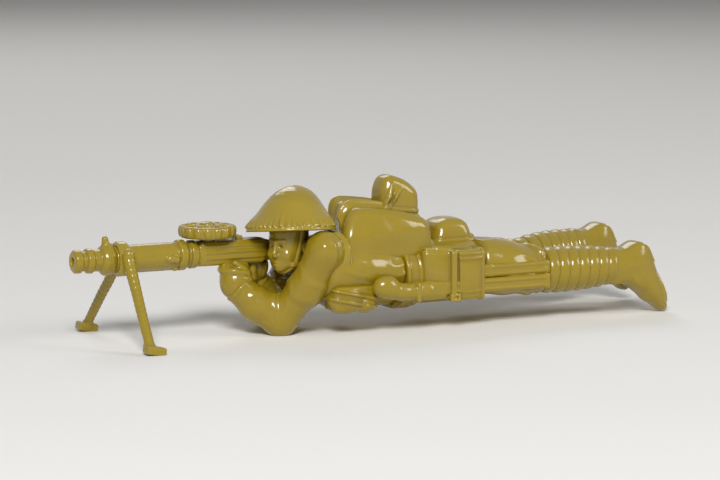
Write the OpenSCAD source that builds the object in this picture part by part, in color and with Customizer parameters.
// Prone toy soldier behind a light machine gun, as a plug-together kit of plastic mouldings.
// X runs from the muzzle to the feet, Z is up, and the gun lies over the line Y = 0.

/* [Body] */
// Gap between the cheek and the stock
cheek_gap = 0.15; // [0.05:0.05:0.6]
// Height of the belly over the ground
belly_clear = 2.7; // [2.2:0.1:3.4]
// Length of the tunic from its collar to the waist
torso_l = 10.8; // [9.8:0.1:12.5]
// Width of the chest
chest_w = 11.2; // [10.2:0.1:12.2]
// Depth of the chest, from belly to back
chest_d = 8.4; // [7.7:0.1:9.2]
// Width of the waist
waist_w = 10.4; // [9.4:0.1:11.4]
// Depth of the waist
waist_d = 7.4; // [6.8:0.1:8]
// Length of the tunic skirt behind the belt
hip_l = 8.6; // [7.8:0.1:10]
// How far the hips bulge past the belt on each side
hip_bulge = 0.3; // [0.2:0.05:0.7]
// Width of the waist belt along the body
belt_w = 2.4; // [1.8:0.1:3]
// Thickness of the belt over the waist
belt_t = 0.2; // [0.1:0.05:0.4]
// Diameter of the waist peg that joins tunic, belt and skirt
waist_peg_d = 3.6; // [2.5:0.1:4]

/* [Head and helmet] */
// Length of the neck in front of the collar
neck_l = 1.9; // [1.6:0.1:2.6]
// Diameter of the neck
neck_d = 3; // [2.4:0.1:3.4]
// Height of the head from chin to crown
head_h = 6.9; // [6.2:0.1:7.6]
// Width of the head
head_w = 4.4; // [3.9:0.1:4.9]
// Length of the head from brow to nape
head_l = 5.3; // [4.8:0.1:5.8]
// Height of the chin over the ground
chin_z = 7.5; // [7:0.1:8.2]
// Diameter of the helmet's brim
brim_d = 10.7; // [9.7:0.1:11.5]
// Height of the helmet from brim to crown
helmet_h = 5.3; // [4.8:0.1:6]
// Wall of the helmet
helmet_wall = 0.6; // [0.4:0.05:0.8]
// How far the helmet comes down over the head
helmet_drop = 1.95; // [1.7:0.05:2.4]
// Lean of the helmet towards the gun's far side, in degrees
helmet_roll = 7.5; // [2:0.5:9]
// Diameter of the crown peg that the helmet turns on
crown_peg_d = 1.6; // [1.2:0.1:2]

/* [Arms] */
// Height of the shoulder over the ground
shoulder_z = 10.3; // [9.5:0.1:10.8]
// How much lower the right shoulder lies
shoulder_drop = 1.2; // [0.8:0.1:1.6]
// Half of the distance between the shoulders
shoulder_half = 4.5; // [4.1:0.1:5]
// Radius of the shoulder
shoulder_r = 2.1; // [1.85:0.05:2.3]
// Radius of the elbow
elbow_r = 1.75; // [1.6:0.05:1.9]
// Radius of the cuff
cuff_r = 1.5; // [1.35:0.05:1.6]
// Reach of the elbows in front of the collar
elbow_reach = 3.5; // [3:0.1:4]
// Distance of each elbow from the gun's line
elbow_out = 3.3; // [2.9:0.1:4.5]
// How much farther back the right elbow lies
elbow_stagger = 2.2; // [1.6:0.1:2.6]
// Depth of the flat that each elbow rests on
elbow_flat = 0.35; // [0.2:0.05:0.5]

/* [Legs] */
// Length of the thigh along the body
thigh_l = 8.5; // [8:0.1:9.5]
// Radius of the thigh at the hip
thigh_r = 3.05; // [2.75:0.05:3.35]
// Radius of the knee
knee_r = 2.85; // [2.6:0.05:3.1]
// Length of the wound shin along the body
shin_l = 9.6; // [9:0.1:10.5]
// Radius of the shin at the knee
shin_r = 2.75; // [2.5:0.05:2.8]
// Radius of the ankle
ankle_r = 2.25; // [2.05:0.05:2.45]
// Number of wraps that show on each shin
wraps = 7; // [5:1:9]
// Depth of the step between two wraps
wrap_step = 0.22; // [0.1:0.02:0.3]
// Height of the knees over the ground
knee_z = 6; // [5.4:0.1:6.6]
// How far each foot lies out from the body's middle line
foot_out = 5.2; // [4.7:0.1:5.7]
// How much farther back the right foot lies
right_reach = 1.5; // [0.5:0.1:2.5]
// How much higher the right leg lies
right_lift = 1.2; // [0.4:0.1:1.6]
// Length of the foot from heel to toe
foot_l = 9.4; // [8.6:0.1:10.2]
// Width of the boot
boot_w = 3; // [2.6:0.1:3.2]

/* [Equipment] */
// Length of the large pack
pack_l = 11.3; // [10.3:0.1:12]
// Width of the large pack
pack_w = 9.2; // [8.4:0.1:10]
// Height of the large pack at the shoulders
pack_h = 5; // [4.5:0.1:5.5]
// Drop of the large pack towards the waist
pack_drop = 2.1; // [1.6:0.1:2.4]
// Length of the mess tin
tin_l = 4.7; // [4.2:0.1:5.4]
// Width of the mess tin
tin_w = 3.8; // [3.4:0.1:4.2]
// Height of the mess tin
tin_h = 5; // [4.4:0.1:5.5]
// Length of the case of the digging tool
case_l = 5.1; // [4.6:0.1:5.4]
// Width of the case of the digging tool
case_w = 5.4; // [5:0.1:5.8]
// Height of the case of the digging tool
case_h = 2.7; // [2.2:0.1:3]
// Length of the haversack
haversack_l = 8.1; // [7.4:0.1:9]
// Height of the haversack
haversack_h = 6.1; // [5.6:0.1:6.7]
// Thickness of the haversack over the scabbard
haversack_cover = 0.6; // [0.4:0.05:1]
// Length of the bayonet's scabbard
scabbard_l = 17.9; // [16:0.1:19.5]
// Width of the bayonet's scabbard
scabbard_w = 1.4; // [1.25:0.05:1.55]
// Thickness of scabbard and helve
bar_t = 1.3; // [1.1:0.05:1.5]
// Length of the bayonet's hilt
hilt_l = 6.8; // [6.2:0.1:7.2]
// Length of the digging tool's helve
helve_l = 12.3; // [11:0.1:13.5]
// Width of the digging tool's helve
helve_w = 1.35; // [1.2:0.05:1.5]
// Length of a set of cartridge pouches
pouch_l = 6; // [5.4:0.1:6.6]
// Depth of a cartridge pouch under the tunic
pouch_h = 2.1; // [1.8:0.1:2.3]
// Width of a cartridge pouch
pouch_w = 3.6; // [3.2:0.1:4]
// Diameter of the water bottle
bottle_d = 5; // [4.5:0.1:5.5]
// Thickness of the water bottle
bottle_t = 2.2; // [1.8:0.1:2.4]

/* [Gun] */
// Height of the barrel over the ground
gun_z = 9.8; // [9.4:0.05:10.2]
// Length of the stock
stock_l = 2.9; // [2.5:0.1:3.4]
// Thickness of the stock
stock_t = 1.5; // [1.2:0.1:1.6]
// Length of the receiver
receiver_l = 8.4; // [8:0.1:9]
// Diameter of the receiver
receiver_d = 3; // [2.7:0.1:3.3]
// Diameter of the barrel jacket
jacket_d = 3.2; // [2.9:0.05:3.5]
// Length of the barrel jacket
jacket_l = 6.2; // [5.6:0.1:7]
// Length of the muzzle in front of the sight collar
muzzle_l = 3.6; // [3:0.1:4.2]
// Diameter of the muzzle
muzzle_d = 2.7; // [2.5:0.1:2.9]
// Diameter of the sight collar
sight_collar_d = 3.5; // [3.2:0.1:3.8]
// Diameter of the pan magazine
magazine_d = 6.8; // [6.2:0.1:7.4]
// Thickness of the pan magazine
magazine_t = 1.4; // [1.2:0.05:1.6]
// Number of ribs round the pan magazine
magazine_ribs = 20; // [12:1:24]
// Diameter of the pin that the magazine turns on
magazine_pin_d = 1; // [0.8:0.05:1.2]

/* [Bipod] */
// Width of the bipod's collar along the barrel
collar_w = 1.5; // [1.2:0.1:1.8]
// Diameter of the bipod's collar
collar_d = 4.1; // [3.9:0.05:4.5]
// Distance from the gun's line to the outside of each foot
bipod_reach = 10.6; // [9.6:0.1:11.6]
// Diameter of a bipod leg at its foot
bipod_leg_d = 0.9; // [0.7:0.05:1]
// Diameter of the pin of each leg
bipod_pin_d = 0.8; // [0.7:0.05:0.9]
// Diameter of the eye of each leg
bipod_eye_d = 1.8; // [1.65:0.05:2]
// Thickness of the eye of each leg
bipod_eye_t = 0.85; // [0.8:0.05:1]

/* [Fits] */
// Gap between two faces that seat on each other
seat_gap = 0.03; // [0.02:0.01:0.06]
// Radial gap of a fixed peg in its socket
peg_gap = 0.04; // [0.02:0.01:0.06]
// Radial gap of a piece that turns on a pin
running_gap = 0.05; // [0.03:0.01:0.08]
// Gap that keeps a moving piece clear of its neighbours
moving_gap = 0.25; // [0.2:0.05:0.35]
// Diameter of the small pegs that hold the equipment
peg_d = 1.2; // [1:0.1:1.4]
// Length of the small pegs
peg_l = 1.4; // [1.1:0.1:1.6]

/* [Hidden] */

$fn = 48;
khaki = "#a88c3c";
far = 100;
left = -1;
right = 1;
peg_r = peg_d / 2;
socket_r = peg_r + peg_gap;
socket_l = peg_l + seat_gap;

// Stations along the body
body_y = -(head_w / 2 + stock_t / 2 + cheek_gap);
waist_x = 2;
root_l = 1;
collar_x = waist_x - torso_l;
hips_x = waist_x + belt_w;
crotch_x = hips_x + hip_l;
chest_z = belly_clear + chest_d / 2;
waist_z = belly_clear + waist_d / 2;
seat_rise = 0.2;
hip_d = waist_d + seat_rise;
hip_z = belly_clear + hip_d / 2;
belt_half_w = waist_w / 2 + belt_t;
hip_half_w = belt_half_w + hip_bulge;
belt_clear = 0.1;
bottle_flat = 0.4;
side_y = body_y - belt_half_w - belt_clear;
far_side_y = body_y + hip_half_w - bottle_flat;
hip_soft = 0.1;
yoke_half_w = 2.8;
yoke_half_h = 2.3;
yoke_sink = 0.8;
slope_l = 0.9;
slope_w = 1;
slope_d = 0.9;
slope_rise = 0.7;
chest_run = 2.6;
chest_share = 0.6;
section_sides = 28;
section_power = 2.6;
limb_step = 0.02;

// Neck, head and helmet
neck_rise = 2.1;
neck_z = chest_z + neck_rise;
head_x = collar_x - neck_l;
head_top_z = chin_z + head_h;
helmet_pitch = 2;
brim_z = head_top_z - helmet_drop;
brim_r = brim_d / 2;
brim_lip = 0.35;
brim_step = 0.15;
dome_power = 1.22;
crown_space = 0.85;
crown_socket_l = 1.5;
dome_lean = 1.5;
mouth_edge = 0.55;
helmet_cavity_h = helmet_drop + crown_space;
helmet_cavity_r = brim_r - helmet_wall - dome_lean;
helmet_mouth_r = brim_r - mouth_edge;
crown_socket_h = helmet_cavity_h + crown_socket_l;
crown_peg_r = crown_peg_d / 2;
neck_peg_r = neck_d / 4;

// Shoulders, elbows and hands
receiver_r = receiver_d / 2;
receiver_flat = 0.1;
receiver_bottom_z = gun_z - receiver_r + receiver_flat;
receiver_top_z = gun_z + receiver_r - receiver_flat;
butt_sink = 0.5;
butt_x = collar_x - shoulder_r + butt_sink;
receiver_x = butt_x - stock_l;
receiver_front_x = receiver_x - receiver_l;
grip_w = 1.3;
grip_l = 1.2;
grip_h = 2.5;
grip_ahead = 1.1;
grip_x = receiver_x - grip_ahead;
grip_bottom_z = receiver_bottom_z - grip_h;
hand_r = 1.4;
thumb_r = 0.5;
wrist_gap = 1.7;
elbow_z = elbow_r - elbow_flat;
left_hand_reach = 3.4;
left_hand_side = 0.9;
right_hand_drop = 1;
left_palm = [receiver_front_x + left_hand_reach, -left_hand_side, receiver_bottom_z - hand_r];
right_palm = [grip_x, grip_w / 2 + hand_r, receiver_bottom_z - right_hand_drop];
thumb_up = 0.4;
left_thumb_back = 0.6;
right_thumb_ahead = 1;
right_thumb_in = 0.2;
cuff_step = 0.2;
shoulder_back = 0.3;
left_arm_points = [shoulder_point(left), elbow_point(left), wrist_point(left, left_palm)];
right_arm_points = [shoulder_point(right), elbow_point(right), wrist_point(right, right_palm)];
arm_radii = [shoulder_r, elbow_r, cuff_r];
wrist_peg_r = 0.6;
wrist_peg_l = 1.2;
arm_peg_l = shoulder_r + peg_l;
arm_peg_back = 0.7;
arm_peg_down = 0.5;

// Hips, knees and feet
leg_gap = 0.15;
hip_offset = thigh_r + leg_gap / 2;
knee_spread = 0.85;
knee_out = hip_offset + knee_spread;
lift_share = 0.6;
ankle_rise = 0.2;
boot_peg_r = 1;
boot_peg_l = 1.6;
heel_slim = 0.1;
toe_slim = 0.3;
boot_top_slim = 0.2;
boot_neck_slim = 0.3;
heel_r = boot_w / 2 - heel_slim;
toe_r = boot_w / 2 - toe_slim;
toe_flat = 0.3;
heel_run = 2.9;
toe_run = 6;

// Equipment
pack_seat_gap = 0.05;
pack_front = 2.8;
pack_seat_z = belly_clear + waist_d + belt_t + pack_seat_gap;
pack_x = collar_x + pack_front;
pack_end_x = pack_x + pack_l;
pack_round = 1.1;
pack_crown = 0.7;
pack_crown_in = 2.2;
pack_relief = 1;
pack_front_peg = 3;
pack_back_peg = 2;
tin_overhang = 0.2;
tin_sink = 0.1;
tin_x = pack_end_x - tin_l + tin_overhang;
tin_y = body_y - tin_w / 2;
tin_seat_z = pack_seat_z + pack_h - pack_drop - tin_sink;
tin_round = 0.5;
tin_slope = 1.7;
case_x = crotch_x - case_l;
case_y = body_y - case_w / 2;
case_sink = 0.4;
case_seat_z = hip_z + hip_d / 2 - case_sink;
case_round = 0.9;
haversack_front = 0.7;
haversack_rise = 0.8;
haversack_t = bar_t + haversack_cover;
haversack_x = hips_x - haversack_front;
haversack_end_x = haversack_x + haversack_l;
haversack_bottom_z = belly_clear + haversack_rise;
haversack_top_z = haversack_bottom_z + haversack_h;
haversack_round = 0.6;
haversack_peg_shares = [0.3, 0.75];
scabbard_front = 0.8;
scabbard_rise = 1.05;
scabbard_x = haversack_x - scabbard_front;
scabbard_z = haversack_bottom_z + scabbard_rise;
scabbard_end_x = scabbard_x + scabbard_l;
scabbard_mid_z = scabbard_z + scabbard_w / 2;
scabbard_peg_run = 2;
hilt_r = 0.85;
hilt_lift = 0.05;
hilt_x = scabbard_x - hilt_l;
hilt_y = side_y - hilt_r - hilt_lift;
guard_l = 0.5;
guard_out = 0.3;
guard_up = 0.4;
pommel_r = 1.05;
bar_space = 0.25;
helve_front = 4.8;
helve_peg_run = 2.2;
helve_z = scabbard_z + scabbard_w + bar_space;
helve_top_z = helve_z + helve_w;
helve_x = haversack_x + helve_front;
helve_end_x = helve_x + helve_l;
pouch_back = 3.3;
pouch_rise = 0.2;
pouch_x = waist_x - pouch_back - pouch_l;
pouch_mid_x = pouch_x + pouch_l / 2;
pouch_seat_z = belly_clear + pouch_rise + pouch_h;
pouch_inner = waist_w / 2 - pouch_w;
pouch_chamfer = 0.45;
pouch_count = 3;
pouch_slit = 0.3;
bottle_run = 4.2;
bottle_drop = 0.2;
bottle_x = hips_x + bottle_run;
bottle_z = hip_z - bottle_drop;
bottle_round = 0.7;
bottle_neck_d = 1.4;
bottle_neck_l = 0.9;

// Gun
jacket_r = jacket_d / 2;
front_ring_l = 1;
middle_ring_l = 0.9;
ring_space = 0.5;
front_ring_t = 0.2;
middle_ring_t = 0.15;
front_ring_r = jacket_r + front_ring_t;
middle_ring_r = receiver_r + middle_ring_t;
rings_l = front_ring_l + middle_ring_l + ring_space;
jacket_x = receiver_front_x - rings_l;
jacket_plug_l = 2;
jacket_plug_r = 0.9;
journal_x = jacket_x - jacket_l;
collar_wall = 0.7;
journal_play = 0.05;
journal_r = collar_d / 2 - collar_wall - running_gap;
journal_l = collar_w + 2 * journal_play;
sight_collar_l = 1.5;
spigot_r = 0.75;
spigot_l = 1.8;
muzzle_x = journal_x - journal_l;
muzzle_tip_x = muzzle_x - sight_collar_l - muzzle_l;
muzzle_ring_l = 0.5;
muzzle_front_ring = 0.45;
muzzle_back_ring = 1.9;
muzzle_ring_t = 0.15;
sight_post_w = 0.7;
sight_post_h = 1.1;
magazine_run = 1.6;
magazine_x = receiver_front_x + magazine_run;
magazine_r = magazine_d / 2;
magazine_rib_r = 0.28;
magazine_seat_r = 1;
magazine_clear = 0.18;
magazine_z = gun_z + max(front_ring_r, middle_ring_r) + magazine_clear;
magazine_seat_z = magazine_z - seat_gap;
magazine_top_z = magazine_z + magazine_t;
magazine_pin_r = magazine_pin_d / 2;
magazine_pin_depth = 1.2;
pin_head_h = 0.35;
pin_head_in = 0.1;
top_rib_count = 8;
top_rib_w = 0.35;
top_rib_h = 0.2;
top_rib_root = 0.1;
top_rib_end = 0.5;
rear_sight_space = 0.4;
rear_sight_l = 0.7;
rear_sight_w = 1;
rear_sight_h = 0.5;
rear_sight_x = magazine_x + magazine_r + rear_sight_space;
stock_top = 0.2;
stock_bottom = 0.1;
groove_end = 0.6;
groove_count = 3;
groove_w = 0.25;
groove_depth = 0.2;

// Bipod
collar_mid_x = journal_x - journal_l / 2;
collar_r = collar_d / 2;
eye_play = 0.1;
pin_head_play = 0.1;
eye_inner_y = collar_r + eye_play;
eye_outer_y = eye_inner_y + bipod_eye_t;
eye_mid_y = eye_inner_y + bipod_eye_t / 2;
eye_r = bipod_eye_d / 2;
bipod_leg_r = bipod_leg_d / 2;
bipod_neck_r = bipod_eye_t / 2 - limb_step / 2;
bipod_pin_r = bipod_pin_d / 2;
bipod_pin_rim = 0.3;
bipod_pin_head_r = bipod_pin_r + bipod_pin_rim;
bipod_pin_head_h = 0.25;
bipod_pin_sink = 0.6;
lug_h = 1.3;
foot_r = 0.85;
foot_half_l = 0.6;
foot_sink = 0.1;
foot_skew = 0.5;

// The figure is set so that the middle of its length lies over the origin
sole_x = ankle_point(right).x + toe_run + toe_r;
middle_x = (muzzle_tip_x + sole_x) / 2;

function shoulder_point(side) =
    [collar_x + shoulder_back, body_y + side * shoulder_half,
        shoulder_z - max(0, side) * shoulder_drop];
function elbow_point(side) =
    [collar_x - elbow_reach + max(0, side) * elbow_stagger, side * elbow_out, elbow_z];
function wrist_point(side, palm) =
    let (run = elbow_point(side) - palm)
    palm + run / norm(run) * wrist_gap;
function hip_point(side) = [crotch_x, body_y + side * hip_offset, hip_z];
function knee_point(side) =
    [crotch_x + thigh_l + max(0, side) * right_reach / 2, body_y + side * knee_out,
        knee_z + max(0, side) * right_lift * lift_share];
function ankle_point(side) =
    knee_point(side) + [shin_l + max(0, side) * right_reach / 2, side * (foot_out - knee_out),
        ankle_rise + max(0, side) * right_lift * (1 - lift_share)];
function pouch_y(side) = body_y + side * (pouch_inner + pouch_w / 2);
function aim(v) = [0, acos(v.z / norm(v)), atan2(v.y, v.x)];
function mix(a, b, t) = a * (1 - t) + b * t;

// A superellipse across the X axis, with its centre, half width and half height
function section(x, y, z, a, b) = [
    for (i = [0:section_sides - 1])
        let (t = 360 * i / section_sides, c = cos(t), s = sin(t), e = 2 / section_power)
        [x, y + a * sign(c) * pow(abs(c), e), z + b * sign(s) * pow(abs(s), e)]
];

// An ellipse across the Z axis
function level(x, y, z, a, b) = [
    for (i = [0:section_sides - 1])
        let (t = 360 * i / section_sides)
        [x + a * cos(t), y + b * sin(t), z]
];

// The values between the stations of a list, rounded as a smooth curve
function blend(s, i, t) =
    let (n = len(s) - 1, p = s[max(i - 1, 0)], q = s[i], r = s[i + 1], u = s[min(i + 2, n)])
    0.5 * (2 * q + (r - p) * t + (2 * p - 5 * q + 4 * r - u) * t * t
        + (3 * q - p - 3 * r + u) * t * t * t);
function smooth(s, steps) = [
    for (i = [0:len(s) - 2], k = [0:steps - 1]) blend(s, i, k / steps),
    s[len(s) - 1]
];

// A closed skin over rings of equal length
function mean(ring) = [for (k = [0:2]) ring_sum(ring, k) / len(ring)];
function ring_sum(ring, k) = [for (p = ring) p[k]] * [for (p = ring) 1];
module skin(rings) {
    n = len(rings[0]);
    m = len(rings);
    last = (m - 1) * n;
    points = [for (ring = rings) each ring, mean(rings[0]), mean(rings[m - 1])];
    walls = [
        for (j = [0:m - 2], i = [0:n - 1])
            let (a = j * n + i, b = j * n + (i + 1) % n)
            each [[a, b + n, b], [a, a + n, b + n]]
    ];
    lids = [
        for (i = [0:n - 1])
            let (k = (i + 1) % n)
            each [[i, k, m * n], [last + k, last + i, m * n + 1]]
    ];
    polyhedron(points = points, faces = concat(walls, lids), convexity = 6);
}

// A cone between two points, and a limb with round joints
module cone(a, b, ra, rb) {
    translate(a)
        rotate(aim(b - a))
            cylinder(h = norm(b - a), r1 = ra, r2 = rb);
}
module joint(p, ahead, r) {
    translate(p)
        rotate(aim(ahead - p))
            sphere(r = r);
}
module limb(points, radii, grow = 0) {
    for (i = [0:len(points) - 2]) {
        joint(points[i], points[i + 1], radii[i] + grow);
        cone(points[i], points[i + 1], radii[i] + grow - limb_step, radii[i + 1] + grow - limb_step);
    }
}

// A peg or a socket along an axis
module peg_x(p, r, l) {
    translate(p)
        rotate([0, 90, 0])
            cylinder(h = l, r = r);
}
module peg_y(p, r, l) {
    translate(p)
        rotate([-90, 0, 0])
            cylinder(h = l, r = r);
}
module peg_z(p, r, l) {
    translate(p)
        cylinder(h = l, r = r);
}

// A block with round corners between two opposite corners, with its back end lowered by a slope
module soft_block(a, b, r, slope = 0) {
    hull()
        for (x = [a.x + r, b.x - r], y = [a.y + r, b.y - r], z = [a.z + r, b.z - r])
            translate([x, y, z - (z > a.z + r && x > a.x + r ? slope : 0)])
                sphere(r = r, $fn = 20);
}

module box(a, b) {
    translate(a)
        cube(b - a);
}

// Everything is drawn in the gun's frame and set over the origin
module place() {
    color(khaki)
        translate([-middle_x, 0, 0])
            children();
}

// Space that the helmet sweeps as it turns
module helmet_frame() {
    translate([head_x, body_y, brim_z])
        rotate([-helmet_roll, helmet_pitch, 0])
            children();
}
module helmet_sweep(skirt) {
    r = brim_r + moving_gap;
    helmet_frame()
        translate([0, 0, -skirt])
            cylinder(h = skirt + helmet_h / 2, r = r);
}

module arm_shape(points, grow = 0) {
    limb(points, arm_radii, grow);
}
module arm_peg(points, side, r, l) {
    run = [arm_peg_back, -side, -arm_peg_down];
    cone(points[0], points[0] + run / norm(run) * l, r, r);
}

module torso() {
    stations = [
        [collar_x, neck_z - yoke_sink, yoke_half_w, yoke_half_h],
        [collar_x + slope_l, chest_z + slope_rise, chest_w / 2 - slope_w, chest_d / 2 - slope_d],
        [collar_x + chest_run, chest_z, chest_w / 2, chest_d / 2],
        [mix(collar_x, waist_x, chest_share), chest_z, chest_w / 2, chest_d / 2],
        [waist_x, waist_z, waist_w / 2, waist_d / 2],
    ];
    place()
        difference() {
            union() {
                skin([for (s = smooth(stations, 3)) section(s[0], body_y, s[1], s[2], s[3])]);
                peg_x([waist_x - root_l, body_y, waist_z], waist_peg_d / 2, root_l + belt_w + peg_l);
            }
            box([pack_x - seat_gap, -far, pack_seat_z], [far, far, far]);
            arm_shape(left_arm_points, seat_gap);
            arm_shape(right_arm_points, seat_gap);
            arm_peg(left_arm_points, left, socket_r, arm_peg_l + seat_gap);
            arm_peg(right_arm_points, right, socket_r, arm_peg_l + seat_gap);
            head_skin(seat_gap);
            helmet_sweep(moving_gap);
            hilt(seat_gap);
            peg_x([collar_x - root_l, body_y, neck_z], neck_peg_r + peg_gap, root_l + socket_l);
            for (x = pack_pegs())
                peg_z([x, body_y, pack_seat_z - socket_l], socket_r, far);
            for (side = [left, right]) {
                pouch_space(side);
                peg_z([pouch_mid_x, pouch_y(side), pouch_seat_z - root_l], socket_r, root_l + socket_l);
            }
        }
}

module pouch_space(side) {
    y = body_y + side * pouch_inner;
    box([pouch_x - seat_gap, min(y, side * far), -far],
        [pouch_x + pouch_l + seat_gap, max(y, side * far), pouch_seat_z]);
}

function pack_pegs() = [pack_x + pack_front_peg, waist_x - pack_back_peg];

module waist_belt() {
    place()
        difference() {
            skin([
                for (x = [waist_x + seat_gap, hips_x - seat_gap])
                    section(x, body_y, waist_z, belt_half_w, waist_d / 2 + belt_t)
            ]);
            peg_x([waist_x - root_l, body_y, waist_z], waist_peg_d / 2 + peg_gap, belt_w + 2 * root_l);
        }
}

module hips() {
    stations = [
        [hips_x, waist_z, waist_w / 2, waist_d / 2],
        [mix(hips_x, crotch_x, 0.5), hip_z, hip_half_w - hip_soft, hip_d / 2],
        [mix(hips_x, crotch_x, 0.8), hip_z, hip_half_w, hip_d / 2],
        [crotch_x, hip_z, hip_half_w - hip_soft, hip_d / 2 - hip_soft],
    ];
    place()
        difference() {
            skin([for (s = smooth(stations, 3)) section(s[0], body_y, s[1], s[2], s[3])]);
            box([-far, -far, -far], [far, side_y, far]);
            box([-far, far_side_y, -far], [far, far, far]);
            box([-far, -far, pack_seat_z], [pack_end_x + seat_gap, far, far]);
            box([case_x - seat_gap, case_y - seat_gap, case_seat_z],
                [far, case_y + case_w + seat_gap, far]);
            peg_x([hips_x - root_l, body_y, waist_z], waist_peg_d / 2 + peg_gap, root_l + socket_l);
            for (side = [left, right])
                peg_x(hip_point(side) - [socket_l, 0, 0], socket_r, far);
            peg_z([case_x + case_l / 2, body_y, case_seat_z - socket_l], socket_r, far);
            for (p = side_pegs())
                peg_y([p.x, side_y - root_l, p.y], socket_r, root_l + socket_l);
            peg_y([bottle_x, far_side_y - socket_l, bottle_z], socket_r, far);
        }
}

// Places of the pegs on the left hip: two of the haversack, one of the scabbard, one of the helve
function side_pegs() = concat(haversack_pegs(), [scabbard_peg(), helve_peg()]);
function haversack_pegs() = [
    for (t = haversack_peg_shares)
        [mix(haversack_x, haversack_end_x, t), (helve_top_z + haversack_top_z) / 2]
];
function scabbard_peg() = [hips_x + scabbard_peg_run, scabbard_mid_z];
function helve_peg() = [helve_x + helve_peg_run, helve_z + helve_w / 2];

// Levels of the head: share of the height, then shift to the front, length and width as shares
head_levels = [
    [0, 0.26, 0.26, 0.36],
    [0.1, 0.2, 0.585, 0.66],
    [0.27, 0.17, 0.735, 0.885],
    [0.45, 0.115, 0.85, 0.975],
    [0.66, 0, 1, 1],
    [0.86, -0.02, 0.83, 0.82],
    [1, -0.02, 0.47, 0.5],
];
module head_skin(grow = 0) {
    skin([
        for (s = smooth(head_levels, 3))
            level(head_x - s[1] * head_l, body_y, chin_z + s[0] * head_h,
                s[2] * head_l / 2 + grow, s[3] * head_w / 2 + grow)
    ]);
}

module head() {
    peg_start = head_top_z - brim_z - root_l;
    place() {
        difference() {
            union() {
                head_skin();
                peg_x([head_x - root_l / 2, body_y, neck_z], neck_d / 2, neck_l + root_l / 2 - seat_gap);
            }
            arm_shape(left_arm_points, seat_gap);
            arm_shape(right_arm_points, seat_gap);
        }
        peg_x([head_x, body_y, neck_z], neck_peg_r, neck_l + peg_l);
        helmet_frame()
            translate([0, 0, peg_start])
                cylinder(h = crown_socket_h - seat_gap - peg_start, r = crown_peg_r);
    }
}

// Half of the helmet's outline, as a dome that flares into the brim
module helmet_outline() {
    steps = 16;
    dome_r = brim_r - brim_step;
    dome_h = helmet_h - brim_lip;
    dome = [
        for (i = [0:steps])
            let (t = 90 * i / steps)
            [dome_r * pow(cos(t), dome_power), brim_lip + dome_h * pow(sin(t), dome_power)]
    ];
    polygon(concat([[0, 0], [brim_r, 0], [brim_r, brim_lip]], dome));
}

module helmet() {
    place()
        helmet_frame()
            difference() {
                rotate_extrude()
                    helmet_outline();
                translate([0, 0, -seat_gap])
                    cylinder(h = helmet_cavity_h + seat_gap, r1 = helmet_mouth_r, r2 = helmet_cavity_r);
                cylinder(h = crown_socket_h, r = crown_peg_r + running_gap);
            }
}

module arm(points, side) {
    run = points[1] - points[2];
    dir = run / norm(run);
    place()
        difference() {
            union() {
                arm_shape(points);
                arm_peg(points, side, peg_r, arm_peg_l);
            }
            box([-far, -far, -far], [far, far, 0]);
            helmet_sweep(moving_gap);
            cone(points[2] - dir, points[2] + dir * (wrist_peg_l + seat_gap),
                wrist_peg_r + peg_gap, wrist_peg_r + peg_gap);
        }
}
module left_arm() { arm(left_arm_points, left); }
module right_arm() { arm(right_arm_points, right); }

// Palm and thumb on the end of a cuff
module hand(points, palm, thumb) {
    run = points[1] - points[2];
    dir = run / norm(run);
    start = points[2] - dir * seat_gap;
    cone(start - dir * root_l / 2, points[2] + dir * wrist_peg_l, wrist_peg_r, wrist_peg_r);
    cone(start, palm, cuff_r - cuff_step, hand_r - limb_step);
    joint(palm, start, hand_r);
    cone(palm, thumb, thumb_r, thumb_r - limb_step);
    joint(thumb, palm, thumb_r);
}
module left_hand() {
    thumb = [left_palm.x + left_thumb_back, -receiver_r - thumb_r, receiver_bottom_z + thumb_up];
    place()
        difference() {
            hand(left_arm_points, left_palm, thumb);
            box([-far, -receiver_r, receiver_bottom_z - seat_gap], [far, far, far]);
        }
}
module right_hand() {
    thumb = right_palm + [-right_thumb_ahead, -right_thumb_in, thumb_up];
    place()
        difference() {
            hand(right_arm_points, right_palm, thumb);
            box([-far, -far, -far], [far, grip_w / 2 + seat_gap, far]);
        }
}

// A shin with the steps of its wraps, drawn upwards from the knee
module wound_shin(l) {
    pitch = l / wraps;
    outline = [
        for (i = [0:wraps - 1])
            let (r = mix(shin_r, ankle_r, i / wraps))
            each [[r - wrap_step, i * pitch], [r, (i + 0.25) * pitch], [r, (i + 0.8) * pitch]]
    ];
    rotate_extrude()
        polygon(concat([[0, 0]], outline, [[ankle_r - wrap_step, l], [0, l]]));
}

module leg(side) {
    hip = hip_point(side);
    knee = knee_point(side);
    ankle = ankle_point(side);
    run = ankle - knee;
    dir = run / norm(run);
    difference() {
        union() {
            cone(hip - [root_l, 0, 0], knee, thigh_r, knee_r - limb_step);
            joint(knee, ankle, knee_r);
            translate(knee)
                rotate(aim(run))
                    wound_shin(norm(run));
        }
        box([-far, -far, -far], [crotch_x + seat_gap, far, far]);
        cone(ankle - dir * (boot_peg_l + seat_gap), ankle + dir * root_l,
            boot_peg_r + peg_gap, boot_peg_r + peg_gap);
    }
    peg_x(hip - [peg_l, 0, 0], peg_r, peg_l + root_l);
}
module left_leg() {
    place()
        difference() {
            leg(left);
            box([crotch_x - root_l, -far, scabbard_z - seat_gap],
                [max(scabbard_end_x, helve_end_x) + seat_gap, side_y, helve_top_z + seat_gap]);
            box([crotch_x - root_l, -far, haversack_bottom_z - seat_gap],
                [haversack_end_x + seat_gap, side_y, haversack_top_z + seat_gap]);
        }
}
module right_leg() { place() leg(right); }

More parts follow.
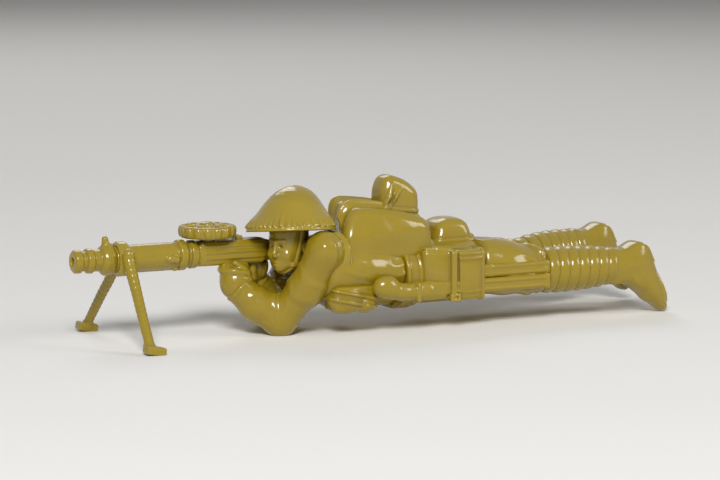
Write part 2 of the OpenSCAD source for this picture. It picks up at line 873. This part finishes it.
// A boot on its toe, with the sole facing away from the shin
module boot(side) {
    ankle = ankle_point(side);
    knee = knee_point(side);
    run = ankle - knee;
    dir = run / norm(run);
    toe = [ankle.x + toe_run, ankle.y, toe_r - toe_flat + max(0, side) * right_lift];
    heel = [ankle.x + heel_run, ankle.y, toe.z + foot_l - toe_r - heel_r];
    difference() {
        hull() {
            translate(toe)
                sphere(r = toe_r, $fn = 28);
            translate(heel)
                sphere(r = heel_r, $fn = 28);
            cone(ankle + dir * seat_gap, ankle + dir * root_l,
                ankle_r - boot_top_slim, ankle_r - boot_neck_slim, $fn = 28);
        }
        box([-far, -far, -far], [far, far, 0]);
    }
    cone(ankle - dir * boot_peg_l, ankle + dir * root_l, boot_peg_r, boot_peg_r);
}
module left_boot() { place() boot(left); }
module right_boot() { place() boot(right); }

module large_pack() {
    a = [pack_x, body_y - pack_w / 2, pack_seat_z - 2 * pack_round];
    b = [pack_end_x, body_y + pack_w / 2, pack_seat_z + pack_h];
    in = pack_crown_in;
    place() {
        difference() {
            hull() {
                soft_block(a, b, pack_round, pack_drop);
                soft_block(a + [in / 2, in, 0], b + [0, -in, pack_crown], pack_round, pack_drop);
            }
            box([-far, -far, -far], [far, far, pack_seat_z + seat_gap]);
            helmet_sweep(pack_relief);
            arm_shape(left_arm_points, seat_gap);
            arm_shape(right_arm_points, seat_gap);
            box([tin_x - seat_gap, tin_y - seat_gap, tin_seat_z],
                [far, tin_y + tin_w + seat_gap, far]);
            peg_z([tin_x + tin_l / 2, tin_y + tin_w / 2, tin_seat_z - socket_l], socket_r, far);
        }
        for (x = pack_pegs())
            peg_z([x, body_y, pack_seat_z - peg_l], peg_r, peg_l + root_l);
    }
}

module mess_tin() {
    a = [tin_x, tin_y, tin_seat_z - 2 * tin_round];
    place() {
        difference() {
            soft_block(a, [tin_x + tin_l, tin_y + tin_w, tin_seat_z + tin_h], tin_round, tin_slope);
            box([-far, -far, -far], [far, far, tin_seat_z + seat_gap]);
        }
        peg_z([tin_x + tin_l / 2, tin_y + tin_w / 2, tin_seat_z - peg_l], peg_r, peg_l + root_l);
    }
}

module digging_tool_case() {
    a = [case_x, case_y, case_seat_z - 2 * case_round];
    place() {
        difference() {
            soft_block(a, [case_x + case_l, case_y + case_w, case_seat_z + case_h], case_round);
            box([-far, -far, -far], [far, far, case_seat_z + seat_gap]);
        }
        peg_z([case_x + case_l / 2, body_y, case_seat_z - peg_l], peg_r, peg_l + root_l);
    }
}

module haversack() {
    r = haversack_round;
    outer_y = side_y - haversack_t;
    groove_y = side_y - bar_t - seat_gap;
    place() {
        difference() {
            soft_block([haversack_x, outer_y, haversack_bottom_z],
                [haversack_end_x, side_y + 2 * r, haversack_top_z], r);
            box([-far, side_y - seat_gap, -far], [far, far, far]);
            box([-far, groove_y, scabbard_z - seat_gap],
                [far, far, scabbard_z + scabbard_w + seat_gap]);
            box([helve_x - seat_gap, groove_y, helve_z - seat_gap], [far, far, helve_top_z + seat_gap]);
        }
        for (p = haversack_pegs())
            side_peg(p);
    }
}

// A peg that holds a piece to the flat of the left hip
module side_peg(p) {
    peg_y([p.x, side_y - root_l / 2, p.y], peg_r, peg_l + root_l / 2);
}

// Hilt and pommel of the bayonet, in front of its scabbard
module hilt(grow = 0) {
    peg_x([hilt_x + pommel_r, hilt_y, scabbard_mid_z], hilt_r + grow, hilt_l - pommel_r + guard_l / 2);
    translate([hilt_x + pommel_r, hilt_y, scabbard_mid_z])
        sphere(r = pommel_r + grow);
}

module bayonet_scabbard() {
    place() {
        box([scabbard_x, side_y - bar_t, scabbard_z],
            [scabbard_end_x, side_y - seat_gap, scabbard_z + scabbard_w]);
        hilt();
        box([scabbard_x - guard_l, side_y - bar_t - guard_out, scabbard_z - guard_up],
            [scabbard_x, side_y - hilt_lift, scabbard_z + scabbard_w + guard_up]);
        side_peg(scabbard_peg());
    }
}

module digging_tool_helve() {
    place() {
        box([helve_x, side_y - bar_t, helve_z], [helve_end_x, side_y - seat_gap, helve_top_z]);
        side_peg(helve_peg());
    }
}

module cartridge_pouches(side) {
    pitch = pouch_l / pouch_count;
    y0 = pouch_y(side) - pouch_w / 2 + seat_gap;
    y1 = pouch_y(side) + pouch_w / 2 - seat_gap;
    z0 = pouch_seat_z - pouch_h;
    z1 = pouch_seat_z - seat_gap;
    c = pouch_chamfer;
    outline = [[y0, z1], [y0, z0 + c], [y0 + c, z0], [y1 - c, z0], [y1, z0 + c], [y1, z1]];
    place() {
        difference() {
            translate([pouch_x, 0, 0])
                rotate([90, 0, 90])
                    linear_extrude(pouch_l)
                        polygon(outline);
            for (i = [1:pouch_count - 1])
                box([pouch_x + i * pitch - pouch_slit / 2, -far, z0 - root_l],
                    [pouch_x + i * pitch + pouch_slit / 2, far, z0 + pouch_h / 2]);
        }
        peg_z([pouch_mid_x, pouch_y(side), z1 - root_l / 2], peg_r, peg_l + root_l / 2);
    }
}
module left_cartridge_pouches() { cartridge_pouches(left); }
module right_cartridge_pouches() { cartridge_pouches(right); }

module water_bottle() {
    r = bottle_round;
    flat_r = bottle_d / 2 - r;
    outer_y = far_side_y + bottle_t;
    place() {
        difference() {
            hull()
                for (y = [far_side_y - r, outer_y - r])
                    translate([bottle_x, y, bottle_z])
                        rotate([90, 0, 0])
                            rotate_extrude($fn = 32)
                                translate([flat_r, 0])
                                    circle(r = r, $fn = 16);
            box([-far, -far, -far], [far, far_side_y + seat_gap, far]);
        }
        peg_y([bottle_x, far_side_y - peg_l, bottle_z], peg_r, peg_l + root_l);
        peg_x([bottle_x - bottle_d / 2 - bottle_neck_l, far_side_y + bottle_t / 2, bottle_z],
            bottle_neck_d / 2, bottle_neck_l + root_l);
    }
}

module gun_receiver() {
    groove_l = receiver_l - 2 * groove_end;
    seat_h = magazine_seat_z - receiver_top_z;
    place()
        difference() {
            union() {
                intersection() {
                    peg_x([receiver_front_x - ring_space, 0, gun_z], receiver_r, receiver_l + ring_space);
                    box([-far, -far, receiver_bottom_z], [far, far, receiver_top_z]);
                }
                peg_x([receiver_front_x - middle_ring_l, 0, gun_z], middle_ring_r, middle_ring_l);
                peg_x([jacket_x, 0, gun_z], front_ring_r, front_ring_l);
                peg_x([jacket_x, 0, gun_z], receiver_r, rings_l);
                peg_z([magazine_x, 0, receiver_top_z - root_l], magazine_seat_r, root_l + seat_h);
                box([rear_sight_x, -rear_sight_w / 2, gun_z],
                    [rear_sight_x + rear_sight_l, rear_sight_w / 2, receiver_top_z + rear_sight_h]);
                box([grip_x - grip_l / 2, -grip_w / 2, grip_bottom_z],
                    [grip_x + grip_l / 2, grip_w / 2, gun_z]);
                box([receiver_x - root_l / 2, -stock_t / 2, receiver_bottom_z + stock_bottom],
                    [butt_x, stock_t / 2, receiver_top_z - stock_top]);
            }
            for (side = [left, right], i = [1:groove_count])
                translate([receiver_front_x + groove_end, side * receiver_r - groove_depth,
                    mix(receiver_bottom_z, receiver_top_z, i / (groove_count + 1)) - groove_w / 2])
                    cube([groove_l, 2 * groove_depth, groove_w]);
            peg_z([magazine_x, 0, magazine_seat_z - magazine_pin_depth - seat_gap],
                magazine_pin_r + peg_gap, far);
            peg_x([jacket_x - root_l, 0, gun_z], jacket_plug_r + peg_gap,
                root_l + jacket_plug_l + seat_gap);
            arm_shape(right_arm_points, seat_gap);
        }
}

module barrel_jacket() {
    place() {
        peg_x([journal_x, 0, gun_z], jacket_r, jacket_l - seat_gap);
        peg_x([journal_x, 0, gun_z], jacket_plug_r, jacket_l + jacket_plug_l);
        peg_x([muzzle_x + seat_gap, 0, gun_z], journal_r, journal_l);
        peg_x([muzzle_x - spigot_l, 0, gun_z], spigot_r, spigot_l + root_l);
    }
}

module muzzle() {
    collar_front_x = muzzle_x - sight_collar_l;
    post_x = muzzle_x - sight_collar_l / 2;
    place()
        difference() {
            union() {
                peg_x([collar_front_x, 0, gun_z], sight_collar_d / 2, sight_collar_l);
                peg_x([muzzle_tip_x, 0, gun_z], muzzle_d / 2, muzzle_l + root_l / 2);
                for (x = [muzzle_front_ring, muzzle_back_ring])
                    peg_x([muzzle_tip_x + x, 0, gun_z], muzzle_d / 2 + muzzle_ring_t, muzzle_ring_l);
                peg_z([post_x, 0, gun_z], sight_post_w / 2, sight_collar_d / 2 + sight_post_h);
            }
            peg_x([muzzle_x - spigot_l - seat_gap, 0, gun_z], spigot_r + peg_gap, far);
        }
}

module pan_magazine() {
    core_r = magazine_r - magazine_rib_r / 2;
    pan_h = magazine_t - top_rib_h;
    place()
        translate([magazine_x, 0, magazine_z])
            difference() {
                union() {
                    cylinder(h = pan_h, r = core_r);
                    for (i = [0:magazine_ribs - 1])
                        rotate(360 * i / magazine_ribs)
                            peg_z([magazine_r - magazine_rib_r, 0, 0], magazine_rib_r, pan_h);
                    for (i = [0:top_rib_count - 1])
                        rotate(360 * i / top_rib_count)
                            translate([magazine_seat_r - top_rib_root, -top_rib_w / 2,
                                pan_h - top_rib_root])
                                cube([core_r - magazine_seat_r - top_rib_end, top_rib_w,
                                    top_rib_h + top_rib_root]);
                    cylinder(h = magazine_t, r = magazine_seat_r);
                }
                peg_z([0, 0, -root_l], magazine_pin_r + running_gap, far);
            }
}

module magazine_pin() {
    head_z = magazine_top_z + running_gap;
    bottom_z = magazine_seat_z - magazine_pin_depth;
    place() {
        peg_z([magazine_x, 0, bottom_z], magazine_pin_r, head_z - bottom_z + pin_head_h / 2);
        peg_z([magazine_x, 0, head_z], magazine_seat_r - pin_head_in, pin_head_h);
    }
}

module bipod_collar() {
    place()
        difference() {
            peg_x([collar_mid_x - collar_w / 2, 0, gun_z], collar_r, collar_w);
            peg_x([collar_mid_x - collar_w, 0, gun_z], journal_r + running_gap, 2 * collar_w);
            for (side = [left, right])
                bipod_pin_shape(side, bipod_pin_r + peg_gap);
        }
}

// The shank of a leg's pin, from inside the collar's wall to under its head
module bipod_pin_shape(side, r) {
    start = collar_r - bipod_pin_sink;
    translate([collar_mid_x, side * start, gun_z])
        rotate([-side * 90, 0, 0])
            cylinder(h = eye_outer_y + running_gap - start, r = r);
}

module bipod_pins() {
    place()
        for (side = [left, right]) {
            bipod_pin_shape(side, bipod_pin_r);
            translate([collar_mid_x, side * (eye_outer_y + running_gap), gun_z])
                rotate([-side * 90, 0, 0])
                    cylinder(h = bipod_pin_head_h, r = bipod_pin_head_r);
        }
}

module bipod_leg(side) {
    eye = [collar_mid_x, side * eye_mid_y, gun_z];
    foot = [collar_mid_x - side * foot_skew, side * (bipod_reach - foot_r), foot_r - foot_sink];
    head_space = bipod_pin_head_r + pin_head_play;
    difference() {
        union() {
            translate([collar_mid_x, side * eye_inner_y, gun_z])
                rotate([-side * 90, 0, 0])
                    cylinder(h = bipod_eye_t, r = eye_r);
            cone(eye, foot, bipod_neck_r, bipod_leg_r);
            cone(eye, eye + [0, 0, lug_h], bipod_neck_r - limb_step, bipod_neck_r - limb_step);
            joint(eye + [0, 0, lug_h], eye, bipod_neck_r);
            for (x = [-foot_half_l, foot_half_l])
                translate(foot + [x, 0, 0])
                    sphere(r = foot_r);
            peg_x(foot - [foot_half_l, 0, 0], foot_r, 2 * foot_half_l);
        }
        translate([collar_mid_x, 0, gun_z])
            rotate([-side * 90, 0, 0])
                cylinder(h = far, r = bipod_pin_r + running_gap);
        translate([collar_mid_x, side * eye_outer_y, gun_z])
            rotate([-side * 90, 0, 0])
                cylinder(h = bipod_pin_head_h + 2 * pin_head_play, r = head_space);
        box([-far, -far, -far], [far, far, 0]);
    }
}
module bipod_left_leg() { place() bipod_leg(left); }
module bipod_right_leg() { place() bipod_leg(right); }

torso();
waist_belt();
hips();
head();
helmet();
left_arm();
right_arm();
left_hand();
right_hand();
left_leg();
right_leg();
left_boot();
right_boot();
large_pack();
mess_tin();
digging_tool_case();
haversack();
bayonet_scabbard();
digging_tool_helve();
left_cartridge_pouches();
right_cartridge_pouches();
water_bottle();
gun_receiver();
barrel_jacket();
muzzle();
pan_magazine();
magazine_pin();
bipod_collar();
bipod_pins();
bipod_left_leg();
bipod_right_leg();
